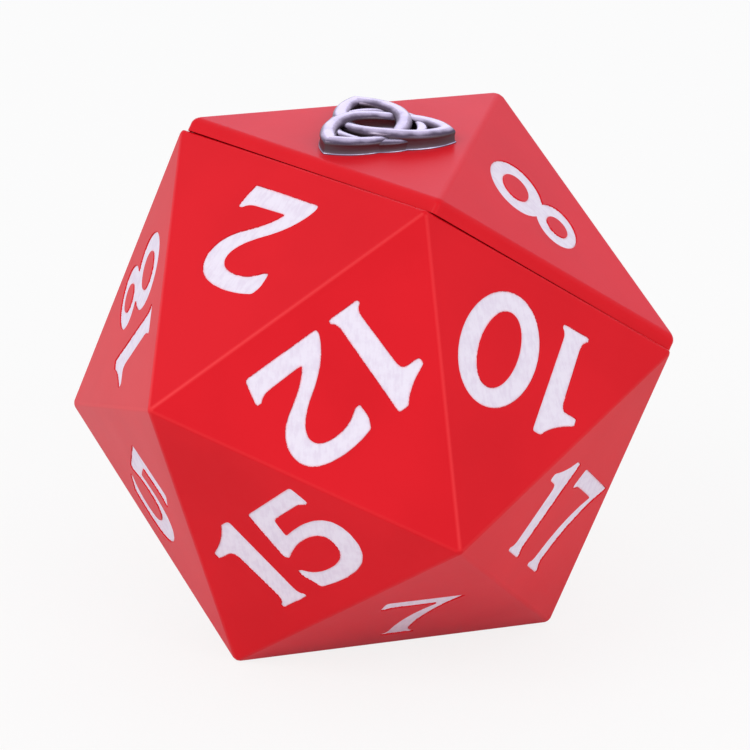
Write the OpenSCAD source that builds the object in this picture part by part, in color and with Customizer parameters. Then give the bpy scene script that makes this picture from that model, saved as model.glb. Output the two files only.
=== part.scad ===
// Dice storage chest in the shape of a twenty-sided die.
// It stands on one face. A shallow five-faced lid lifts off along the axis of one corner.
// Millimetres, +Z up, origin at the middle of the face that the chest stands on.

/* [Body] */
// Length of every edge of the twenty-sided body
edge = 86; // [70:1:110]
// Thickness of the cast walls, square to each face
wall = 6; // [4:0.5:9]
// Radius of the softened outer edges
edge_round = 2; // [0.5:0.5:4]

/* [Lid] */
// Height of the upright band round the foot of the lid
rim_height = 3.8; // [2:0.2:6]
// How far the band stands in from the edge of the base
rim_inset = 0.8; // [0.2:0.2:2]
// Width of the small flat on each corner of the band and of the space inside the lip
rim_flat = 2; // [1:0.5:4]
// How much lower the lid's point is than faces parallel to the base's would meet
point_drop = 1.4; // [0:0.2:3]
// Thin gap that shows between the lid and the base
seam_gap = 0.2; // [0.1:0.1:0.5]

/* [Lip under the lid] */
// Depth of the lip that drops into the base
lip_height = 6; // [4:1:10]
// Thickness of the lip
lip_wall = 2.5; // [2:0.5:4]
// Clearance all round between the lip and the mouth of the base
lip_gap = 1.2; // [0.6:0.2:2]
// Share of that clearance the lid has turned through, as it was last put on
turned_share = 0.8; // [0:0.1:0.9]

/* [Lining] */
// Thickness of the felt lining
lining = 1.2; // [0.8:0.2:2]
// Distance from the lid's lip down to the top of the lining in the base
lining_drop = 1; // [0.5:0.5:3]

/* [Numbers] */
// Height of the numbers
number_height = 29; // [20:1:34]
// Distance from the lower edge of a face up to the foot of its number
number_foot = 8; // [6:0.5:12]
// Space between the two figures of a number
figure_gap = 3.6; // [2:0.2:6]
// Depth of the sunk numbers
recess_depth = 1; // [0.6:0.1:2]
// Thickness of the paint that lies in the sunk numbers
paint = 0.5; // [0.2:0.1:0.5]

/* [Badge] */
// Radius of the curved strands that make the knot, to their middle line
strand_radius = 15.5; // [13:0.5:17]
// Width of the strands
strand_width = 4.8; // [3:0.2:6]
// Thickness of the strands above the lid
strand_height = 4.8; // [4:0.2:6]
// Radius of the ring that the knot is threaded through, as a share of the strands' radius
ring_share = 0.74; // [0.7:0.01:0.8]
// Width of the ring
ring_width = 4; // [2:0.2:5]
// Thickness of the ring above the lid
ring_height = 4; // [2:0.2:5]
// Diameter of the two pegs behind the badge
peg_d = 2.5; // [2:0.5:4]
// Length of the pegs
peg_length = 3; // [2:0.5:3.5]
// Clearance round the pegs and past their ends
peg_gap = 0.1; // [0.1:0.1:0.3]

/* [Hidden] */

// The regular twenty-sided body, measured from its centre
golden = (1 + sqrt(5)) / 2;
inradius = edge * pow(golden, 2) / (2 * sqrt(3));
corner_radius = edge * sqrt(golden * sqrt(5)) / 2;
face_radius = edge / sqrt(3);
belt_radius = golden * face_radius;
belt_rise = inradius / pow(golden, 3);
reach = 2 * corner_radius;
// How far a cut runs past the surface that it starts from
cut_over = 2;
// Corners this many edge lengths apart, or less, are joined by an edge
joined = 1.01;
// The outward directions of two faces of the lid that share an edge have a product above this
neighbours = 0.5;

function at_azimuth(radius, azimuth, height) = [radius * cos(azimuth), radius * sin(azimuth), height];
function unit(v) = v / norm(v);

// Corners 0 to 2 are those of the top face and 3 to 5 the three below them.
// Corner 11 - i lies opposite corner i.
upper_corners = concat(
    [for (azimuth = [-150, -30, 90]) at_azimuth(face_radius, azimuth, inradius)],
    [for (azimuth = [-90, 30, 150]) at_azimuth(belt_radius, azimuth, belt_rise)]
);
corners = concat(upper_corners, [for (i = [5 : -1 : 0]) -upper_corners[i]]);

// A face is [its number, the corner over the number's head, the corners to its left and right].
// Opposite faces add up to twenty-one. The top face holds the badge in place of its number.
front_faces = [
    [20, 2, 0, 1], [2, 3, 1, 0], [12, 6, 1, 3], [10, 6, 4, 1], [8, 4, 2, 1],
    [18, 7, 3, 0], [15, 3, 9, 6], [17, 4, 6, 11], [7, 6, 9, 11], [5, 3, 7, 9]
];
faces = concat(front_faces, [for (f = front_faces) [21 - f[0], 11 - f[1], 11 - f[3], 11 - f[2]]]);
badge_face = 20;

// The lid is the five faces round the corner at the back of the top face
lid_corner = 2;
lid_tilt = acos(inradius / corner_radius);
lid_axis = unit(corners[lid_corner]);
seam_level = corner_radius / sqrt(5);
ring_corner_radius = corner_radius * 2 / sqrt(5);
ring_sides = 5;
half_side = 180 / ring_sides;
ring_apothem = ring_corner_radius * cos(half_side);
function on_lid(face) = len([for (i = [1 : 3]) if (face[i] == lid_corner) i]) > 0;
lid_faces = [for (f = faces) if (on_lid(f)) f];
base_faces = [for (f = faces) if (!on_lid(f)) f];

// Planes that bound the solids are [outward normal, distance from the centre]
function face_plane(face, points) =
    let (
        across = points[face[3]] - points[face[2]],
        normal = unit(cross(across, points[face[1]] - points[face[2]]))
    )
    [normal, normal * points[face[1]]];

// A plane that touches the rounding where two planes meet at a point
function soft_plane(first, second, point) =
    let (normal = unit(first[0] + second[0]))
    [normal, normal * point - edge_round * (1 / (normal * first[0]) - 1)];

// How far the base's inner walls stand from the lid's axis at the seam, where its mouth is narrowest.
// The first face of the base is one of the five that end at the seam.
side_lean = asin(face_plane(base_faces[0], corners)[0] * lid_axis);
mouth_apothem = (inradius - wall - seam_level * sin(side_lean)) / cos(side_lean);
lip_apothem = mouth_apothem - lip_gap;
lip_corner_radius = lip_apothem / cos(half_side);
free_turn = half_side - acos(min(1, mouth_apothem / lip_corner_radius));
lid_turn = turned_share * free_turn;

// Corners of the lid: its ring stands in from the base's, raised by the band and turned about the axis
rim_apothem = ring_apothem - rim_inset;
rim_corner_radius = rim_apothem / cos(half_side);
cap_height = rim_apothem / tan(90 - lid_tilt) - point_drop;
function turned_ring_point(corner) =
    let (
        outward = unit(corner - lid_axis * (corner * lid_axis)),
        sideways = cross(lid_axis, outward)
    )
    lid_axis * (seam_level + rim_height)
        + rim_corner_radius * (outward * cos(lid_turn) + sideways * sin(lid_turn));
lid_point = lid_axis * (seam_level + rim_height + cap_height);
lid_corners = [for (i = [0 : 11]) i == lid_corner ? lid_point : turned_ring_point(corners[i])];

// Frame of a face: origin in the middle of the edge below its number, Y up the number, Z outwards
function face_frame(face, points) =
    let (
        x = unit(points[face[3]] - points[face[2]]),
        z = face_plane(face, points)[0],
        y = cross(z, x),
        origin = (points[face[2]] + points[face[3]]) / 2
    )
    [[x[0], y[0], z[0], origin[0]], [x[1], y[1], z[1], origin[1]], [x[2], y[2], z[2], origin[2]],
        [0, 0, 0, 1]];

module on_face(face) {
    points = on_lid(face) ? lid_corners : corners;
    multmatrix(face_frame(face, points)) children();
}

module along_lid_axis() {
    rotate([-lid_tilt, 0, 0]) children();
}

// Everything on the inner side of a plane, moved in by a depth
module inside_plane(plane, depth = 0) {
    normal = plane[0];
    rotate([0, acos(normal[2]), atan2(normal[1], normal[0])])
        translate([-reach, -reach, plane[1] - depth - 2 * reach])
            cube(2 * reach);
}

// Both sides of the body at once, for a plane and the one opposite it
module slab(plane) {
    normal = plane[0];
    rotate([0, acos(normal[2]), atan2(normal[1], normal[0])])
        cube([2 * reach, 2 * reach, 2 * plane[1]], center = true);
}

module lid_prism(apothem, low, high) {
    along_lid_axis()
        translate([0, 0, seam_level + low])
            rotate([0, 0, 90 + lid_turn])
                cylinder(r = apothem / cos(half_side), h = high - low, $fn = ring_sides);
}

// ---- Body ----

// One direction of each opposite pair of edges and corners points to this side
pair_side = [0.01, 0.02, 1];
edge_middles = [
    for (i = [0 : 10]) for (j = [i + 1 : 11])
        let (middle = (corners[i] + corners[j]) / 2)
            if (norm(corners[i] - corners[j]) < joined * edge && middle * pair_side > 0) middle
];
function softened(point) =
    [unit(point), norm(point) - edge_round * (norm(point) / inradius - 1)];

module soft_body() {
    intersection() {
        intersection_for (face = front_faces) slab(face_plane(face, corners));
        intersection_for (middle = edge_middles) slab(softened(middle));
        intersection_for (corner = upper_corners) slab(softened(corner));
    }
}

module base_hollow(depth) {
    intersection_for (face = base_faces) inside_plane(face_plane(face, corners), depth);
}

module base_solid() {
    intersection() {
        soft_body();
        inside_plane([lid_axis, seam_level]);
    }
}

module base_shell() {
    color("firebrick")
        translate([0, 0, inradius])
            difference() {
                base_solid();
                base_hollow(wall);
                for (face = base_faces) on_face(face) number_recess(face[0]);
            }
}

module base_lining() {
    color("dimgray")
        translate([0, 0, inradius])
            difference() {
                intersection() {
                    base_hollow(wall);
                    inside_plane([lid_axis, seam_level - lip_height - lining_drop]);
                }
                base_hollow(wall + lining);
            }
}

// ---- Lid ----

// Planes of the lid's faces, of the band below each one, and of the edges between them
lid_planes = [for (f = lid_faces) face_plane(f, lid_corners)];
function band_plane(plane) =
    let (outward = unit(plane[0] - lid_axis * (plane[0] * lid_axis)))
    [outward, rim_apothem];
function band_edge_point(plane) =
    lid_axis * (seam_level + rim_height) + band_plane(plane)[0] * rim_apothem;
band_edge_planes = [for (p = lid_planes) soft_plane(p, band_plane(p), band_edge_point(p))];
lid_edge_planes = [
    for (i = [0 : 3]) for (j = [i + 1 : 4])
        if (lid_planes[i][0] * lid_planes[j][0] > neighbours)
            soft_plane(lid_planes[i], lid_planes[j], lid_point)
];
lid_soft_planes = concat(band_edge_planes, lid_edge_planes);

// The space under the lid's faces and its blunted point, moved in by a depth
module lid_hollow(depth) {
    point_level = lid_axis * lid_point - (depth + edge_round) / (lid_axis * lid_planes[0][0]) + edge_round;
    intersection() {
        intersection_for (plane = lid_planes) inside_plane(plane, depth);
        inside_plane([lid_axis, point_level]);
    }
}

// A five-sided prism with a small flat on each of its upright edges
module flat_edged_prism(apothem, low, high) {
    flat_apothem = apothem / cos(half_side) - rim_flat / 2 * tan(half_side);
    intersection() {
        lid_prism(apothem, low, high);
        rotate(a = 180, v = lid_axis) lid_prism(flat_apothem, low, high);
    }
}

module lid_solid() {
    intersection() {
        flat_edged_prism(rim_apothem, seam_gap, rim_height + cap_height);
        lid_hollow(0);
        intersection_for (plane = lid_soft_planes) inside_plane(plane);
    }
}

module lid_room(low) {
    intersection() {
        flat_edged_prism(lip_apothem - lip_wall, low, cap_height);
        lid_hollow(wall);
    }
}

module lid_shell() {
    color("crimson")
        translate([0, 0, inradius])
            difference() {
                union() {
                    lid_solid();
                    lid_prism(lip_apothem, -lip_height, rim_height);
                }
                lid_room(-lip_height - cut_over);
                for (face = lid_faces) on_face(face)
                    if (face[0] == badge_face) peg_holes();
                    else number_recess(face[0]);
            }
}

module lid_lining() {
    color("dimgray")
        translate([0, 0, inradius])
            difference() {
                lid_room(seam_gap);
                lid_hollow(wall + lining);
            }
}

// ---- Numbers ----

// Figures are drawn in hundredths of their height, from their left edge and their foot.
// A bend is the curve from the point before it, towards the first point given, to the second.
bend_steps = 5;
function bend(from, towards, to) = [
    for (i = [1 : bend_steps])
        let (t = i / bend_steps)
            pow(1 - t, 2) * from + 2 * t * (1 - t) * towards + pow(t, 2) * to
];
oval_steps = 36;
function oval(centre, half) = [
    for (i = [0 : oval_steps - 1])
        let (angle = 360 * i / oval_steps)
            centre + [half[0] * cos(angle), half[1] * sin(angle)]
];

one = concat(
    [[14, 0], [46, 0], [46, 4]], bend([46, 4], [42, 5], [41, 12]),
    [[42, 100], [32, 100]], bend([32, 100], [23, 87], [0, 78]),
    [[0, 71], [14, 71]], bend([14, 71], [19, 70], [19, 62]),
    [[20, 12]], bend([20, 12], [19, 5], [14, 4])
);
two = concat(
    [[0, 0], [76, 0], [81, 24], [76, 25]], bend([76, 25], [72, 19], [62, 19]),
    [[28, 18]], bend([28, 18], [36, 30], [54, 41]), bend([54, 41], [81, 55], [81, 77]),
    bend([81, 77], [80, 101], [44, 102]), bend([44, 102], [25, 102], [11, 97]),
    [[7, 88], [7, 74], [13, 75]], bend([13, 75], [24, 85], [40, 85]),
    bend([40, 85], [60, 85], [60, 72]), bend([60, 72], [59, 58], [30, 40]),
    bend([30, 40], [8, 24], [0, 5])
);
three = concat(
    [[8, 2], [1, 20], [1, 27], [6, 26]], bend([6, 26], [14, 15], [32, 15]),
    bend([32, 15], [57, 15], [57, 31]), bend([57, 31], [57, 46], [28, 46]),
    [[28, 60]], bend([28, 60], [52, 60], [52, 74]), bend([52, 74], [52, 86], [38, 86]),
    bend([38, 86], [22, 86], [13, 75]), [[7, 74], [7, 88], [11, 97]],
    bend([11, 97], [25, 102], [40, 102]), bend([40, 102], [74, 102], [74, 77]),
    bend([74, 77], [74, 62], [58, 54]), bend([58, 54], [80, 48], [80, 29]),
    bend([80, 29], [80, -1], [38, -1]), bend([38, -1], [20, -1], [8, 2])
);
four = concat(
    [[0, 24], [2, 22], [42, 22], [42, 12]], bend([42, 12], [41, 5], [35, 4]),
    [[35, 0], [69, 0], [69, 4]], bend([69, 4], [63, 5], [62, 12]),
    [[62, 22], [76, 22], [80, 40], [76, 41]], bend([76, 41], [74, 38], [68, 38]),
    [[62, 38], [62, 100], [46, 100]], bend([46, 100], [34, 70], [0, 36])
);
four_hole = [[20, 38], [42, 38], [42, 66]];
five = concat(
    [[6, 97], [1, 44], [5, 41]], bend([5, 41], [20, 51], [38, 51]),
    bend([38, 51], [57, 50], [57, 35]), bend([57, 35], [57, 15], [32, 15]),
    bend([32, 15], [14, 15], [6, 26]), [[1, 27], [1, 20], [8, 2]],
    bend([8, 2], [20, -1], [38, -1]), bend([38, -1], [80, 0], [80, 36]),
    bend([80, 36], [80, 64], [48, 65]), bend([48, 65], [35, 65], [22, 62]),
    [[25, 81], [54, 83]], bend([54, 83], [62, 84], [65, 80]), [[70, 81], [67, 102]]
);
six = concat(
    [[68, 101]], bend([68, 101], [0, 88], [0, 36]), bend([0, 36], [0, -1], [42, -1]),
    bend([42, -1], [84, -1], [84, 31]), bend([84, 31], [84, 64], [48, 64]),
    bend([48, 64], [34, 64], [24, 56]), bend([24, 56], [34, 84], [70, 88]), [[72, 95]]
);
six_hole = oval([43, 31], [20, 17]);
seven = concat(
    [[2, 100], [0, 80], [5, 79]], bend([5, 79], [9, 83], [16, 83]),
    [[53, 83]], bend([53, 83], [28, 55], [24, 12]), bend([24, 12], [23, 5], [18, 4]),
    [[18, 0], [50, 0], [50, 4]], bend([50, 4], [43, 5], [42, 13]),
    bend([42, 13], [44, 60], [76, 99])
);

module figure_0() {
    difference() {
        polygon(oval([44, 50], [44, 52]));
        polygon(oval([44, 50], [22, 35]));
    }
}

module figure_4() {
    difference() {
        polygon(four);
        polygon(four_hole);
    }
}

module figure_6() {
    difference() {
        polygon(six);
        polygon(six_hole);
    }
}

module figure_8() {
    difference() {
        union() {
            polygon(oval([38, 78], [32, 24]));
            polygon(oval([38, 29], [38, 31]));
        }
        polygon(oval([38, 79], [14, 12]));
        polygon(oval([38, 28], [19, 15]));
    }
}

figure_widths = [88, 46, 81, 80, 80, 80, 84, 76, 76, 84];
turned_six = [84, 100];
underline_half_width = 28;
underline_top = -9;
underline_bottom = -18;

module figure(digit) {
    if (digit == 0) figure_0();
    if (digit == 1) polygon(one);
    if (digit == 2) polygon(two);
    if (digit == 3) polygon(three);
    if (digit == 4) figure_4();
    if (digit == 5) polygon(five);
    if (digit == 6) figure_6();
    if (digit == 7) polygon(seven);
    if (digit == 8) figure_8();
    if (digit == 9) translate(turned_six) rotate(180) figure_6();
}

// A 6 or a 9 that stands alone has a line under it, so that it reads one way up
module underline(centre) {
    translate([centre - underline_half_width, underline_bottom])
        square([2 * underline_half_width, underline_top - underline_bottom]);
}

module number_prisms(number, low, high) {
    tens = floor(number / 10);
    ones = number % 10;
    size = number_height / 100;
    tens_width = number < 10 ? 0 : figure_widths[tens] + figure_gap / size;
    start = -(tens_width + figure_widths[ones]) / 2;
    translate([0, number_foot, low])
        linear_extrude(height = high - low)
            scale([size, size]) {
                if (number >= 10) translate([start, 0]) figure(tens);
                translate([start + tens_width, 0]) figure(ones);
                if (number == 6 || number == 9) underline(0);
            }
}

module number_recess(number) {
    number_prisms(number, -recess_depth, cut_over);
}

module number_paint(number) {
    color("ghostwhite")
        translate([0, 0, inradius])
            for (face = faces)
                if (face[0] == number)
                    on_face(face) number_prisms(number, -recess_depth, paint - recess_depth);
}

// ---- Badge ----

badge_up = norm(lid_point - (lid_corners[0] + lid_corners[1]) / 2) / 3;
strand_centre = strand_radius / sqrt(3);
ring_radius = ring_share * strand_radius;

// One of the three discs whose rims the strands follow
module disc(i, radius) {
    rotate(120 * i - 30) translate([strand_centre, 0]) circle(radius);
}

// The space that two of those discs share
module shared(i, radius) {
    intersection() {
        disc(i, radius);
        disc(i + 1, radius);
    }
}

// Three pointed loops that run on into one another
module knot() {
    outer_radius = strand_radius + strand_width / 2;
    inner_radius = strand_radius - strand_width / 2;
    linear_extrude(height = strand_height)
        difference() {
            for (i = [0 : 2]) shared(i, outer_radius);
            for (i = [0 : 2])
                difference() {
                    shared(i, inner_radius);
                    disc(i + 2, outer_radius);
                }
            intersection() {
                shared(0, inner_radius);
                disc(2, inner_radius);
            }
        }
}

module ring() {
    linear_extrude(height = ring_height)
        difference() {
            circle(ring_radius + ring_width / 2);
            circle(ring_radius - ring_width / 2);
        }
}

// Two pegs under the ring, or the holes that they go into
module pegs(diameter, low, high) {
    for (side = [-1, 1])
        translate([side * ring_radius, 0, low])
            cylinder(d = diameter, h = high - low, $fn = 48);
}

module at_badge() {
    translate([0, badge_up, 0]) children();
}

module peg_holes() {
    at_badge() pegs(peg_d + 2 * peg_gap, -peg_length - peg_gap, cut_over);
}

// The knot threaded through a ring
module badge() {
    color("silver")
        translate([0, 0, inradius])
            on_face(faces[0]) at_badge() {
                knot();
                ring();
                pegs(peg_d, -peg_length, ring_height / 4);
            }
}

base_shell();
lid_shell();
base_lining();
lid_lining();
badge();
for (number = [1 : 19]) number_paint(number);
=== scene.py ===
"""Looks of the dice storage chest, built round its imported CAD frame.

The chest is a hollow casting in the shape of a twenty-sided die. Five of its faces are a loose
lid. Metres, row frame: +Z up, and the chest stands on the face round the origin.
"""

from __future__ import annotations

import logging
import math
from collections.abc import Callable, Iterable
from dataclasses import dataclass
from enum import Enum
from typing import TypeVar

import bmesh
import bpy
from bmesh.types import BMEdge, BMesh, BMFace, BMVert
from bpy.types import ID, Material, Mesh, Node, NodeSocket, NodeTree, Object
from mathutils import Matrix, Vector
from mathutils.kdtree import KDTree


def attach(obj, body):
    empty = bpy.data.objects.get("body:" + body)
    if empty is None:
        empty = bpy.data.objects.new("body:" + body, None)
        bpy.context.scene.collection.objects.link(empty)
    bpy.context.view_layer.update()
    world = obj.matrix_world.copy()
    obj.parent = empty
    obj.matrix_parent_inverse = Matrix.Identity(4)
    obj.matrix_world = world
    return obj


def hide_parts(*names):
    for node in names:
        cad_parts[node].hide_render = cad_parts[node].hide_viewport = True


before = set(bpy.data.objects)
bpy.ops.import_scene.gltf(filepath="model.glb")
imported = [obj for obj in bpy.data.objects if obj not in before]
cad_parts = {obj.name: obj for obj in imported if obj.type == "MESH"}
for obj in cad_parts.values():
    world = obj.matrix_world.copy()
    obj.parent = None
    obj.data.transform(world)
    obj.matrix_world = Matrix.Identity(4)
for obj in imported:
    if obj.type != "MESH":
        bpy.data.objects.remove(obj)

LOG = logging.getLogger("dice_chest")
Colour = tuple[float, float, float, float]
Part = TypeVar("Part", BMVert, BMEdge, BMFace)
MM = 0.001
GOLDEN = (1 + math.sqrt(5)) / 2
WHITE: Colour = (1.0, 1.0, 1.0, 1.0)
# Points this close together, in metres, are one point.
MERGE = 1e-6
# Points within this of a level, in metres, lie on it.
LEVEL_SLACK = 10 * MERGE
# A face larger than this, in square metres, is one of a casting's flat sides.
BROAD = 100 * MM * MM
# Two unit directions whose product is above this are the same.
ALIKE = 0.99998
# A face whose product with the way out of the die is above this looks out of the die.
FACING = 0.9
# Faces that differ by less than this many degrees are one flat face.
COPLANAR = 0.3
# An edge where the surface turns by more than this many degrees is a corner of the form.
CORNER = 30.0
FLAT_LAYER = "flat_face"


class Body(Enum):
    """The two halves of the chest, by the name of the body each one moves with."""

    BASE = "base"
    LID = "lid"


class Slot(Enum):
    """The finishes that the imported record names."""

    RED_PAINT = "red_paint"
    NUMBER_PAINT = "number_paint"
    SILVER = "antique_silver"
    FELT = "felt"


# ---------------------------------------------------------------- shader helpers


def srgb(red: int, green: int, blue: int) -> Colour:
    """Turns a colour as it is seen, 0 to 255, into the linear one that a shader takes.

    Args:
        red: Red, 0 to 255.
        green: Green, 0 to 255.
        blue: Blue, 0 to 255.

    Returns:
        Linear red, green, blue and an alpha of 1.
    """

    def linear(value: int) -> float:
        """One channel, made linear."""
        share = value / 255
        return share / 12.92 if share <= 0.04045 else ((share + 0.055) / 1.055) ** 2.4

    return linear(red), linear(green), linear(blue), 1.0


class Wiring:
    """Adds nodes to one node tree and joins them up."""

    def __init__(self, tree: NodeTree) -> None:
        """Starts on a tree, which may already hold nodes."""
        self.tree = tree

    def add(
        self, kind: str, feeds: dict[str | int, object] | None = None, **settings: object
    ) -> Node:
        """Adds a node and sets or joins its inputs.

        Args:
            kind: The node's type, such as ShaderNodeTexNoise.
            feeds: What goes into each input: another node's output, or a plain value.
            settings: The node's own properties.

        Returns:
            The new node.
        """
        node = self.tree.nodes.new(kind)
        for name, value in settings.items():
            setattr(node, name, value)
        for key, value in (feeds or {}).items():
            if isinstance(value, NodeSocket):
                self.tree.links.new(value, node.inputs[key])
            else:
                node.inputs[key].default_value = value
        return node

    def maths(self, operation: str, *values: object) -> NodeSocket:
        """One step of arithmetic, as the socket that holds its result."""
        node = self.add("ShaderNodeMath", dict(enumerate(values)), operation=operation)
        return node.outputs[0]

    def noise(
        self, where: NodeSocket, scale: object, detail: float = 2.0, rough: float = 0.5
    ) -> NodeSocket:
        """A noise value from 0 to 1 at a place, with its scale in waves a metre."""
        feeds = {"Vector": where, "Scale": scale, "Detail": detail, "Roughness": rough}
        return self.add("ShaderNodeTexNoise", feeds).outputs["Fac"]

    def span(
        self, value: NodeSocket, given: tuple[float, float], wanted: tuple[float, float]
    ) -> NodeSocket:
        """A value moved smoothly from one range to another and held there.

        Args:
            value: The value.
            given: The two ends of its range.
            wanted: What those ends become.

        Returns:
            The socket of the new value.
        """
        ends = dict(zip(("From Min", "From Max", "To Min", "To Max"), (*given, *wanted)))
        feeds = {"Value": value, **ends}
        node = self.add("ShaderNodeMapRange", feeds, interpolation_type="SMOOTHSTEP", clamp=True)
        return node.outputs["Result"]

    def blend(self, share: object, first: object, second: object) -> NodeSocket:
        """Two colours mixed, where a share of 0 is all the first."""
        feeds = {0: share, 6: first, 7: second}
        return self.add("ShaderNodeMix", feeds, data_type="RGBA").outputs[2]

    def bump(self, height: NodeSocket, strength: object, distance: object) -> NodeSocket:
        """The normal of a surface with a relief."""
        feeds = {"Height": height, "Strength": strength, "Distance": distance}
        return self.add("ShaderNodeBump", feeds).outputs["Normal"]

    def place(self) -> NodeSocket:
        """The object's own coordinates, in metres."""
        return self.add("ShaderNodeTexCoord").outputs["Object"]

    def attribute(self, name: str) -> NodeSocket:
        """The value of an attribute that the piece's mesh carries."""
        node = self.add("ShaderNodeAttribute", attribute_type="GEOMETRY", attribute_name=name)
        return node.outputs["Fac"]


class ShaderGroup:
    """A node group that several finishes place, each with its own values."""

    made: dict[str, NodeTree] = {}

    def __init__(
        self,
        name: str,
        inputs: dict[str, float],
        output: tuple[str, str],
        wire: Callable[[Wiring, Node, Node], None],
    ) -> None:
        """Says what the group is called, takes and gives.

        Args:
            name: The group's name.
            inputs: The first value of each input, besides the place that every group takes.
            output: The output's name and the end of its socket type's name.
            wire: Fills the group, given its wiring, its input node and its output node.
        """
        self.name, self.inputs, self.output, self.wire = name, inputs, output, wire

    def tree(self) -> NodeTree:
        """The group's tree, built the first time that it is asked for.

        Returns:
            The tree, which all the finishes share.
        """
        if self.name not in self.made:
            tree = bpy.data.node_groups.new(self.name, "ShaderNodeTree")
            new_socket = tree.interface.new_socket
            new_socket("Place", in_out="INPUT", socket_type="NodeSocketVector")
            for name, value in self.inputs.items():
                socket = new_socket(name, in_out="INPUT", socket_type="NodeSocketFloat")
                socket.default_value = value
            name, kind = self.output
            new_socket(name, in_out="OUTPUT", socket_type="NodeSocket" + kind)
            wiring = Wiring(tree)
            self.wire(wiring, wiring.add("NodeGroupInput"), wiring.add("NodeGroupOutput"))
            self.made[self.name] = tree
        return self.made[self.name]

    def put(self, wiring: Wiring, feeds: dict[str | int, object]) -> Node:
        """Places the group in a material's tree with its own values."""
        return wiring.add("ShaderNodeGroup", feeds, node_tree=self.tree())


def _wire_cloud(wiring: Wiring, given: Node, gives: Node) -> None:
    """Fills the group of slow unevenness.

    Args:
        wiring: The wiring of the group's tree.
        given: Its input node.
        gives: Its output node.
    """
    take, link = given.outputs, wiring.tree.links.new
    cloud = wiring.noise(take["Place"], scale=take["Scale"], detail=3.0)
    centred = wiring.maths("SUBTRACT", cloud, 0.5)
    link(wiring.maths("MULTIPLY_ADD", centred, take["Amount"], 1.0), gives.inputs["Share"])


def _wire_specks(wiring: Wiring, given: Node, gives: Node) -> None:
    """Fills the group of stray specks.

    Args:
        wiring: The wiring of the group's tree.
        given: Its input node.
        gives: Its output node.
    """
    take, link = given.outputs, wiring.tree.links.new
    cells = wiring.add("ShaderNodeTexVoronoi", {"Vector": take["Place"], "Scale": take["Scale"]})
    rare = wiring.add("ShaderNodeSeparateColor", {"Color": cells.outputs["Color"]}).outputs[0]
    chosen = wiring.maths("LESS_THAN", rare, take["Share"])
    small = wiring.maths("LESS_THAN", cells.outputs["Distance"], take["Size"])
    link(wiring.maths("MULTIPLY", chosen, small), gives.inputs["Mask"])


def _wire_skin(wiring: Wiring, given: Node, gives: Node) -> None:
    """Fills the group of a sprayed coat's fine relief.

    Args:
        wiring: The wiring of the group's tree.
        given: Its input node.
        gives: Its output node.
    """
    take, link = given.outputs, wiring.tree.links.new
    fine = wiring.noise(take["Place"], scale=take["Fine"], detail=2.0)
    broad = wiring.noise(take["Place"], scale=take["Broad"], detail=1.0)
    height = wiring.maths("MULTIPLY_ADD", broad, take["Swell"], fine)
    link(wiring.bump(height, take["Strength"], take["Depth"]), gives.inputs["Normal"])


CLOUD = ShaderGroup(
    "slow_unevenness", {"Scale": 20.0, "Amount": 0.1}, ("Share", "Float"), _wire_cloud
)
SPECKS = ShaderGroup(
    "stray_specks", {"Scale": 80.0, "Share": 0.02, "Size": 0.05}, ("Mask", "Float"), _wire_specks
)
SKIN = ShaderGroup(
    "coat_relief",
    {"Fine": 900.0, "Broad": 60.0, "Swell": 2.0, "Strength": 0.2, "Depth": 0.05 * MM},
    ("Normal", "Vector"),
    _wire_skin,
)


# ---------------------------------------------------------------- finishes


def start_material(name: str, **fixed: object) -> tuple[Material, Wiring, Node]:
    """Makes a material with one Principled shader.

    Args:
        name: The material's name.
        fixed: Values set on the shader's own sockets, spaces written as underscores.

    Returns:
        The material, the wiring of its tree, and its shader node.
    """
    material = bpy.data.materials.new(name)
    material.use_nodes = True
    shader = material.node_tree.nodes["Principled BSDF"]
    for key, value in fixed.items():
        shader.inputs[key.replace("_", " ")].default_value = value
    return material, Wiring(material.node_tree), shader


@dataclass(frozen=True)
class SatinRed:
    """Sprayed satin paint on the resin castings.

    Attributes:
        colour: Its colour.
        shade: Its colour in slow, slightly darker patches.
        crest_highlight: Its colour in the painted highlight along the crests of the edges.
        dust: The colour of the specks that dried in it.
        roughness: Its roughness, before the slow unevenness.
        crest_highlight_share: How far the painted highlight colour takes over on the crests.
    """

    colour: Colour = srgb(222, 22, 35)
    shade: Colour = srgb(215, 19, 32)
    crest_highlight: Colour = srgb(248, 62, 66)
    dust: Colour = srgb(238, 150, 150)
    roughness: float = 0.36
    crest_highlight_share: float = 0.62

    def material(self) -> Material:
        """Builds the paint.

        Returns:
            A material with uneven colour, a painted highlight along its crests, a soft sprayed
            relief and a few specks of dust.
        """
        material, wiring, shader = start_material(
            "satin_red_paint", IOR=1.5, Specular_IOR_Level=0.13
        )
        place, link = wiring.place(), wiring.tree.links.new
        cloud = wiring.span(wiring.noise(place, scale=26, detail=3), (0.35, 0.7), (0, 1))
        tone = wiring.blend(cloud, self.colour, self.shade)
        # Painted highlight: the marked crests of the rounded edges are lightened, standing in for
        # light catching them.
        thin_paint_and_crest_light = wiring.maths("MULTIPLY", wiring.attribute("crest_highlight"), self.crest_highlight_share)
        tone = wiring.blend(thin_paint_and_crest_light, tone, self.crest_highlight)
        specks = {"Place": place, "Scale": 120.0, "Share": 0.03, "Size": 0.028}
        tone = wiring.blend(SPECKS.put(wiring, specks).outputs["Mask"], tone, self.dust)
        link(tone, shader.inputs["Base Color"])
        uneven = CLOUD.put(wiring, {"Place": place, "Scale": 45.0, "Amount": 0.15})
        rough = wiring.maths("MULTIPLY", uneven.outputs["Share"], self.roughness)
        link(rough, shader.inputs["Roughness"])
        skin = SKIN.put(wiring, {"Place": place, "Strength": 0.35, "Depth": 0.04 * MM})
        link(skin.outputs["Normal"], shader.inputs["Normal"])
        return material


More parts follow.
